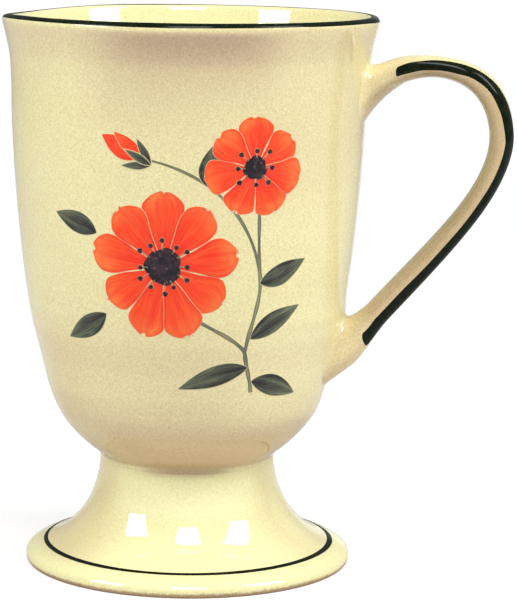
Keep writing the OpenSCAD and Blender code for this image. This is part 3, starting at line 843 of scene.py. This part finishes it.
def root_slip(name, node, start, end, reach, back, inner, flip):
    """Slip round one root. start and end are places on the handle, inside the bowl and clear of it.

    reach is how far the slip comes over the handle and over the wall. back and inner say how much
    further it comes there, as shares, and how flat the fillet is there, from 0 to 1."""
    count, steps = 120, 9
    columns = np.arange(count) * 360 / count
    contact = np.array([handle_at(root_place(k, start, end, 0.0), [k])[0] for k in columns])
    # The outward direction of the contact line on the unrolled wall
    girth_r = bowl_radius(contact[:, 2])
    flat = np.stack([np.arctan2(contact[:, 1], contact[:, 0]) * girth_r, contact[:, 2]], -1)
    tangent = np.roll(flat, -1, 0) - np.roll(flat, 1, 0)
    out = np.stack([tangent[:, 1], -tangent[:, 0]], -1)
    out /= np.linalg.norm(out, axis=1)[:, None]
    if ((flat - flat.mean(0)) * out).sum() < 0:
        out = -out

    def wall(i, distance, lift):
        """A point on the wall, that far out from column i's contact."""
        girth, z = flat[i] + out[i] * distance
        angle = girth / girth_r[i]
        r = wall_radius(angle, z) + lift
        return V(r * math.cos(angle), r * math.sin(angle), z)

    rows = []
    for i, k in enumerate(columns):
        turn = math.cos(math.radians(k))
        more = V(*(back if turn > 0 else inner)) * turn * turn
        wave = 1 + 0.1 * math.sin(3 * math.radians(k) + 1)
        over_handle, over_wall, even = reach[0] * (wave + more[0]), reach[1] * (wave + more[1]), more[2]
        tucked = root_place(k, start, end, over_handle + TUCK)
        a, b = handle_at(root_place(k, start, end, over_handle), [k])[0], wall(i, over_wall, 0.0)
        leave_a = unit(a - handle_at(tucked, [k])[0]) * np.linalg.norm(contact[i] - a)
        leave_b = unit(b - wall(i, over_wall + TUCK, 0.0)) * np.linalg.norm(contact[i] - b)
        near_a = a + ((1 - even) * leave_a + even * (b - a) / 2) * 2 / 3
        near_b = b + ((1 - even) * leave_b + even * (a - b) / 2) * 2 / 3
        rows.append([handle_at(tucked, [k], -SINK)[0]]
                    + [cubic(a, near_a, near_b, b, s / steps) for s in range(steps + 1)]
                    + [wall(i, over_wall + TUCK, -SINK)])
    rows = np.array(rows)
    per = rows.shape[1]
    # The handle's tones fade out towards the wall
    left = np.tile(np.clip(1 - (np.arange(per) - 1) / (per - 3), 0, 1), count)
    side, inward = (np.repeat(value, per) * left**2 for value in strap_values(columns))
    values = {"side": side, "inner": inward, "root": left}
    faces = grid_faces(count, per, ring=True)
    piece(name, rows.reshape(-1, 3), faces, handle_glaze, node, values, flip)


root_slip("upper_root_slip", "upper_handle_joint", 0.02, 1.0, reach=(1.8, 1.7),
          back=(-0.2, -0.7, 0.1), inner=(4.0, 0.95, 0.52), flip=False)
root_slip("lower_root_slip", "lower_handle_joint", 3.98, 3.0, reach=(1.3, 1.4),
          back=(2.3, 0.2, 0.9), inner=(1.2, 1.2, 0), flip=True)


# Painted lines
LIFT = 0.035


def band(name, node, rows, widths, ring, flip=False):
    """A painted line from rows of points across it, with each point's distance to the nearest edge."""
    faces = grid_faces(*rows.shape[:2], ring=ring)
    values = {"edge": np.ravel(widths)}
    piece(name, rows.reshape(-1, 3), faces, line_paint, node, values, flip, sharp=80)


def hump(angle, middle, width):
    """A soft swell round one angle, from 0 to 1."""
    return math.exp(-((turn_from(angle, middle) / width) ** 2))


rows, widths = [], []
for a in ROUND:
    start = 21 + 3 * math.sin(2 * a + 1) + 2 * math.sin(5 * a) - 16 * hump(a, 0.05, 0.22)
    end = 113 + 4 * math.sin(a * 3 + 2) + 2 * math.sin(7 * a) + 20 * hump(a, math.pi, 0.3)
    line, wide = [], []
    for s in np.linspace(0, 1, 27):
        at = BEAD + (BEAD_R + LIFT * (1 if 0 < s < 1 else -1)) * direction(start + (end - start) * s)
        r = at[0] + bowl_shape(a, at[1])
        line.append((r * math.cos(a), r * math.sin(a), at[1]))
        wide.append(min(s, 1 - s) * math.radians(end - start) * BEAD_R)
    rows.append(line)
    widths.append(wide)
band("rim_line_paint", "rim_line", pressed(np.array(rows)), widths, ring=True, flip=True)

rows, widths = [], []
for a in ROUND:
    swell = max(0, math.cos(a - 0.1)) ** 2
    width = 1.2 + 0.096 * math.sin(a * 2 + 0.5) + 0.072 * math.sin(a * 5) + 0.264 * swell
    drift = 0.12 * math.sin(a + 2.1) + 0.05 * math.sin(3 * a)
    line, wide = [], []
    for s in np.linspace(0, 1, 11):
        along = -LINE_W / 2 - 0.3 + drift + width * (s - 0.5)
        # Past the line's own stretch the flange's curve falls away, so its outline is followed
        at = LINE_OUT + along * SHELF
        if along > 0:
            at[1] = np.interp(at[0], EDGE[:EDGE_STEPS + 1, 0], EDGE[:EDGE_STEPS + 1, 1])
        elif along < -LINE_W:
            at[1] = np.interp(at[0], FLARE[:, 0], FLARE[:, 1])
        at = at + V(0.35, 0.94) * LIFT * (1 if 0 < s < 1 else -1)
        line.append((at[0] * math.cos(a), at[0] * math.sin(a), at[1]))
        wide.append(min(s, 1 - s) * width)
    rows.append(line)
    widths.append(wide)
band("foot_line_paint", "foot_line", foot_shift(np.array(rows)), widths, ring=True)

# The stripe: places along the handle, and the two angles round it that it lies between there
STRIPE = np.array([
    [0.50, 77, 102], [0.7, 66, 103], [0.85, 58, 102], [1.0, 50, 100], [1.3, 39, 92], [1.5, 25, 86],
    [1.75, 10, 80], [2.0, 0, 75], [2.5, -4, 82], [3.0, -6, 86], [3.15, 4, 86], [3.3, 22, 86],
    [3.42, 36, 86],
])
STRIPE_START, STRIPE_END = 0.56, 3.37
rows, widths = [], []
for t in np.linspace(STRIPE_START, STRIPE_END, 330):
    low, high = (np.interp(t, STRIPE[:, 0], STRIPE[:, side]) for side in (1, 2))
    low += 1.2 * math.sin(t * 9) + 0.7 * math.sin(t * 23)
    high += math.sin(t * 11 + 1) + 0.6 * math.sin(t * 27)
    # Blunt, rounded ends
    room = min(t - STRIPE_START, STRIPE_END - t) * 30
    full = math.sqrt(max(0.02, 1 - max(0, 1 - room / 1.1) ** 2))
    middle, half = (low + high) / 2, (high - low) / 2 * full
    fan = np.linspace(middle - half, middle + half, 19)
    line = handle_at(t, fan, LIFT if room else -LIFT)
    line[[0, -1]] = handle_at(t, fan[[0, -1]], -LIFT)
    run = np.r_[0, np.cumsum(np.linalg.norm(np.diff(line, axis=0), axis=1))]
    rows.append(line)
    widths.append(np.minimum(np.minimum(run, run[-1] - run), room))
band("handle_stripe_paint", "handle_stripe", np.array(rows), widths, ring=False)


# Painted spray
def turned(points, degrees):
    c, s = direction(degrees)
    return np.stack([points[..., 0] * c - points[..., 1] * s, points[..., 0] * s + points[..., 1] * c], -1)


class Spray:
    """Gathers brush marks that become one piece."""

    def __init__(self):
        self.points, self.faces = [], []
        self.values = {"edge": [], "along": [], "across": [], "seed": []}
        self.count = 0

    def add(self, flat, along, across, edge, lift, seed):
        girth, z = flat.reshape(-1, 2).T
        # The rim of the mark sinks under the glaze's surface
        self.points.append(on_bowl(girth, z, np.where(edge.ravel() <= 1e-6, -0.03, lift)))
        # A mark whose rows run the other way round has its faces turned over
        a, b = flat[1:, :-1] - flat[:-1, 1:], flat[1:, 1:] - flat[:-1, :-1]
        step = 1 if (a[..., 0] * b[..., 1] - a[..., 1] * b[..., 0]).sum() < 0 else -1
        self.faces += [tuple(self.count + i for i in f)[::step] for f in grid_faces(*edge.shape)]
        self.count += edge.size
        seeds = np.full(edge.size, seed)
        for key, data in (("edge", edge), ("along", along), ("across", across), ("seed", seeds)):
            self.values[key].append(data.ravel())

    def build(self, name, node, material):
        values = {key: np.concatenate(data) for key, data in self.values.items()}
        piece(name, np.vstack(self.points), self.faces, material, node, values, sharp=80)


def mark(place, angle, length, half_width, lift, seed, ragged=0.0, rows=34, per=17):
    """A brush mark: half_width gives its half width in mm at shares of its length."""
    t = (1 - np.cos(np.linspace(0, math.pi, rows)))[:, None] / 2
    v = np.sin(np.linspace(-math.pi / 2, math.pi / 2, per))[None, :]
    half = half_width(t)
    x, y = t * length * np.ones_like(v), half * v
    if ragged:
        # A wavy outer end, with a shallow notch
        notch = np.exp(-(((v - 0.25 * math.sin(seed * 5)) / 0.28) ** 2))
        wave = np.sin(v * 4.2 + seed * 7) + 0.6 * np.sin(v * 9.1 + seed * 13) - 0.9 * notch
        x = x + ragged * wave * span(t, 0.45, 1) ** 2
        y = y * (1 + 0.04 * np.sin(t * 11 + seed * 3))
    flat = turned(np.stack([x, y], -1), angle) + place
    edge = np.minimum(half * (1 - np.abs(v)), np.minimum(t, 1 - t) * length)
    edge[[0, -1]] = 0
    edge[:, [0, -1]] = 0
    return flat, t + 0 * v, v + 0 * t, edge, lift, seed


def petal_half(root, length, count):
    """Petals that fill their share of the round as far as their shoulders."""
    def half(t):
        widest = 1.04 * math.tan(math.pi / count) * (root + length * np.minimum(t, 0.8))
        return widest * (1 - span(t, 0.55, 1) ** 2.3) ** 0.5
    return half


def leaf_half(width):
    return lambda t: width / 2 * np.sin(np.clip(t, 0, 1) ** 0.82 * math.pi) ** 0.9


def blot(place, d, lift, seed, ring=8, sides=40, rough=0.05):
    """A round dab with an uneven rim, as rows from its rim to its middle."""
    a = np.linspace(0, 2 * math.pi, sides + 1)[None, :]
    r = np.linspace(0, 1, ring)[::-1, None] ** 0.8
    shape = d / 2 * r * (1 + rough * np.sin(3 * a + seed * 5) + rough * 0.6 * np.sin(7 * a + seed * 11))
    flat = np.stack([place[0] + shape * np.cos(a), place[1] + shape * np.sin(a)], -1)
    edge = d / 2 * (1 - r) + 0 * a
    return flat, r + 0 * a, a / 6.3 + 0 * r, edge, lift, seed


flower_at = V(-0.2 * FLOWER_D, FOOT_HEIGHT + FLOWER_RISE)
small_at = flower_at + FLOWER_D * V(0.59, 0.65)
bud_at = flower_at + FLOWER_D * V(-0.15, 0.71)
BUD_ANGLE = 150
PETAL_SHARES = [1, 0.95, 1, 0.92, 0.98, 1, 0.94, 1, 0.96]

petals = Spray()
for place, d, centre, count, seed in ((flower_at, FLOWER_D, CENTRE_D, 9, 0.0),
                                      (small_at, SMALL_D, SMALL_CENTRE_D, 7, 0.4)):
    root = centre * 0.3
    # Every other petal lies over its neighbours
    for layer, k in enumerate([*range(0, count, 2), *range(1, count, 2)]):
        angle = 90 + 360 * k / count
        length = (d / 2 - root) * PETAL_SHARES[k]
        petals.add(*mark(place + root * direction(angle), angle + 2 * math.sin(5 * k), length,
                         petal_half(root, length, count), 0.03 + 0.006 * layer, k * 0.37 + seed,
                         ragged=0.26 * d / FLOWER_D))
petals.add(*mark(bud_at, BUD_ANGLE, BUD_L, leaf_half(BUD_L * 0.5), 0.05, 3.3))
petals.add(*mark(bud_at + V(0.6, 0.2), 139, BUD_L * 0.86, leaf_half(BUD_L * 0.32), 0.056, 4.1))
petals.build("spray_petals_paint", "spray_petals", petal_paint)

centres = Spray()
centres.add(*blot(flower_at, CENTRE_D * 1.04, 0.10, 1.0, 12, 72, 0.05))
centres.add(*blot(small_at, SMALL_CENTRE_D * 1.04, 0.10, 2.0, 10, 60, 0.06))
centres.build("spray_centre_paint", "spray_centre", centre_paint)

dots = Spray()
for place, centre in ((flower_at, CENTRE_D), (small_at, SMALL_CENTRE_D)):
    count = 2 * int(math.pi * centre / DOT_D / 1.6 / 2)
    start = centre * 0.42
    for k in range(count):
        a = 360 * k / count + 4 * math.sin(k * 2.3)
        out = centre / 2 + DOT_D * (0.9, 1.5)[k % 2] + 0.18 * math.sin(k * 1.7)
        # A fine stamen holds each anther
        dots.add(*mark(place + start * direction(a), a, out - start, lambda t: 0.16 + 0.05 * np.sin(t * 9),
                       0.104, k * 0.9, rows=8, per=5))
        size = DOT_D * (1 + 0.16 * math.sin(k * 3.1))
        dots.add(*blot(place + out * direction(a), size, 0.11, k * 0.7, 6, 20, 0.08))
dots.build("spray_dots_paint", "spray_dots", centre_paint)

calyx = Spray()
for k, swing in enumerate((-32, 32, 0)):
    calyx.add(*mark(bud_at - 0.3 * BUD_L * direction(BUD_ANGLE), BUD_ANGLE + swing, BUD_L * 0.7,
                    leaf_half(BUD_L * 0.2), 0.07 + 0.006 * k, swing * 0.1 + 1))
calyx.build("spray_calyx_paint", "spray_calyx", leaf_paint)

# Leaves: where each starts, in shares of the flower from its middle, its share of the length, and its angle
LEAVES = (
    ((0.67, -0.8), 0.85, -8), ((0.63, -0.7), 1, 188), ((0.62, -0.5), 0.8, 35), ((0.66, -0.12), 0.7, 15),
    ((-0.42, -0.34), 0.75, 215), ((-0.46, 0.2), 0.65, 155), ((0.3, 0.52), 0.5, 95),
)
leaves = Spray()
for k, (start, share, angle) in enumerate(LEAVES):
    length = LEAF_L * share
    flat, *rest = mark(V(0, 0), 0, length, leaf_half(LEAF_W * 1.05), 0.024, k * 1.3)
    # Each leaf bends a little along its length
    flat[..., 1] += (0.12 if k % 2 else -0.12) * length * (flat[..., 0] / length) ** 2
    leaves.add(turned(flat, angle) + flower_at + FLOWER_D * V(*start), *rest)
leaves.build("spray_leaves_paint", "spray_leaves", leaf_paint)

# Stems: the two ends and the pulls of the curve between them, in shares of the flower, and the two widths
STEM_START, FORK, UPPER_FORK = (0.68, -0.88), (0.59, -0.59), (0.66, -0.06)
STEMS = (
    (STEM_START, FORK, (-0.02, 0.1), (0.02, -0.1), (1, 1)),
    (FORK, (0.06, -0.25), (-0.1, 0.12), (0.16, -0.14), (0.9, 0.8)),
    (FORK, UPPER_FORK, (0.02, 0.2), (0.03, -0.2), (1, 0.9)),
    (UPPER_FORK, (0.59, 0.65), (-0.04, 0.25), (0.06, -0.25), (0.8, 0.7)),
    (UPPER_FORK, (-0.15, 0.71), (-0.1, 0.42), (0.42, -0.06), (0.8, 0.6)),
)
stems = Spray()
for k, (start, end, start_pull, end_pull, wide) in enumerate(STEMS):
    a, b = (flower_at + FLOWER_D * V(*place) for place in (start, end))
    path = np.vstack([a, curve(a, a + FLOWER_D * V(*start_pull), b + FLOWER_D * V(*end_pull), b, 40)])
    along = np.gradient(path, axis=0)
    normal = np.stack([-along[:, 1], along[:, 0]], -1) / np.linalg.norm(along, axis=1)[:, None]
    t = np.linspace(0, 1, len(path))[:, None]
    v = np.linspace(-1, 1, 9)[None, :]
    half = STEM_W / 2 * np.interp(t, [0, 1], wide) * (1 + 0.12 * np.sin(t * 17 + k * 2))
    edge = half * (1 - np.abs(v))
    flat = path[:, None] + normal[:, None] * (half * v)[..., None]
    stems.add(flat, t + 0 * v, v + 0 * t, edge, 0.016 + 0.001 * k, k)
stems.build("spray_stems_paint", "spray_stems", stem_paint)


# Floor, light and camera, in metres
WHITE = (1, 1, 1, 1)
CORNERS = ((-1, -1), (1, -1), (1, 1), (-1, 1))
FLOOR_REACH = 6


def seen(n, heading, front, back):
    """How far a ray sees white: camera and transmission rays do, and mirrored ones that go backwards."""
    ray = n.new("ShaderNodeLightPath").outputs
    mirrored = n.times(ray["Is Glossy Ray"], n.ease(n.parts(heading)["Y"], front, back))
    return n.most(ray["Is Camera Ray"], mirrored, ray["Is Transmission Ray"])


def floor_material():
    """Pale paper. Where the backdrop is seen it is white, and keeps the mug's shadow near the foot."""
    n = Nodes(bpy.data.materials.new("floor_paper"), clear=True)
    grain = n.new("ShaderNodeTexNoise", n.place, 0, 60).outputs[0]
    tone = n.mix(grain, (0.64, 0.64, 0.63, 1), (0.68, 0.68, 0.67, 1))
    paper = n.new("ShaderNodeBsdfDiffuse", tone).outputs[0]
    reach = n.new("ShaderNodeVectorMath", n.place, operation="LENGTH").outputs["Value"]
    white = n.new("ShaderNodeEmission", WHITE, n.span(reach, 0.1, 0.45, 0.6, 1)).outputs[0]
    shade = n.new("ShaderNodeBsdfDiffuse", n.span(reach, 0.1, 0.45, 0.44, 0.02)).outputs[0]
    both = n.new("ShaderNodeAddShader", white, shade).outputs[0]
    heading = n.new("ShaderNodeVectorMath", n.place, operation="NORMALIZE").outputs["Vector"]
    look = n.new("ShaderNodeMixShader", seen(n, heading, 0.95, 0.998), paper, both).outputs[0]
    n.new("ShaderNodeOutputMaterial", look)
    return n.owner


def stage_plane(name, corners, material):
    mesh = bpy.data.meshes.new(name)
    mesh.from_pydata(corners, [], [tuple(range(len(corners)))])
    mesh.materials.append(material)
    made = add_object(name, mesh)
    made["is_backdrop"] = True
    return made


stage_plane("floor", [(x * FLOOR_REACH, y * FLOOR_REACH, 0) for x, y in CORNERS], floor_material())

AIM = Vector((0, 0, 0.05))
LAMP_DISTANCE = 1.2
MIRRORED = 11


def panel(name, azimuth, elevation, wide, high, roll, power):
    """A soft light panel that aims at the mug, and the bright sheet that the glaze mirrors."""
    a, e = math.radians(azimuth), math.radians(elevation)
    back = Vector((math.sin(a) * math.cos(e), -math.cos(a) * math.cos(e), math.sin(e)))
    centre = AIM + back * LAMP_DISTANCE
    turn = back.to_track_quat("Z", "Y").to_matrix() @ Matrix.Rotation(math.radians(roll), 3, "Z")
    lamp = bpy.data.lights.new(name, "AREA")
    lamp.shape, lamp.size, lamp.size_y, lamp.energy = "RECTANGLE", wide, high, power
    made = add_object(name, lamp)
    made.matrix_world = Matrix.Translation(centre) @ turn.to_4x4()
    made.visible_glossy = False
    n = Nodes(bpy.data.materials.new(name + "_sheet"), clear=True)
    n.new("ShaderNodeOutputMaterial", n.new("ShaderNodeEmission", WHITE, MIRRORED).outputs[0])
    corners = [centre + turn @ Vector((x * wide / 2, y * high / 2, 0)) for x, y in CORNERS]
    sheet = stage_plane(name + "_sheet", corners, n.owner)
    sheet.visible_camera = sheet.visible_diffuse = sheet.visible_shadow = sheet.visible_transmission = False


panel("light_left", -57, 38, wide=0.44, high=0.54, roll=15, power=5.0)
panel("light_front", 11, 57, wide=0.40, high=0.54, roll=0, power=4.6)
panel("light_right", 82, 46, wide=0.44, high=0.60, roll=-15, power=8.4)

world = bpy.data.worlds.new("studio")
bpy.context.scene.world = world
n = Nodes(world, clear=True)
fill, white = (n.new("ShaderNodeBackground", WHITE, strength).outputs[0] for strength in (0.5, 1.0))
heading = n.new("ShaderNodeTexCoord").outputs["Generated"]
look = n.new("ShaderNodeMixShader", seen(n, heading, 0.97, 0.998), fill, white).outputs[0]
n.new("ShaderNodeOutputWorld", look)

# The photograph's camera, as fitted to the mug's outline, with its turn in degrees
CAMERA_AT = (0.106012, -0.601225, 0.1621)
AZIMUTH, ELEVATION, ROLL = 8.4126, 9.2702, 0.8192
FOCAL_PIXELS, PICTURE_PIXELS = 2609.4, 600
camera = bpy.data.cameras.new("camera")
camera.sensor_width = 36
camera.lens = FOCAL_PIXELS / PICTURE_PIXELS * camera.sensor_width
camera.clip_start, camera.clip_end = 0.01, 30
turn = Matrix.Translation(CAMERA_AT)
for degrees, axis in ((AZIMUTH, "Z"), (90 - ELEVATION, "X"), (ROLL, "Z")):
    turn = turn @ Matrix.Rotation(math.radians(degrees), 4, axis)
viewer = add_object("camera", camera)
viewer.matrix_world = turn
bpy.context.scene.camera = viewer
bpy.context.scene.view_settings.view_transform = "Standard"

low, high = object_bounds()
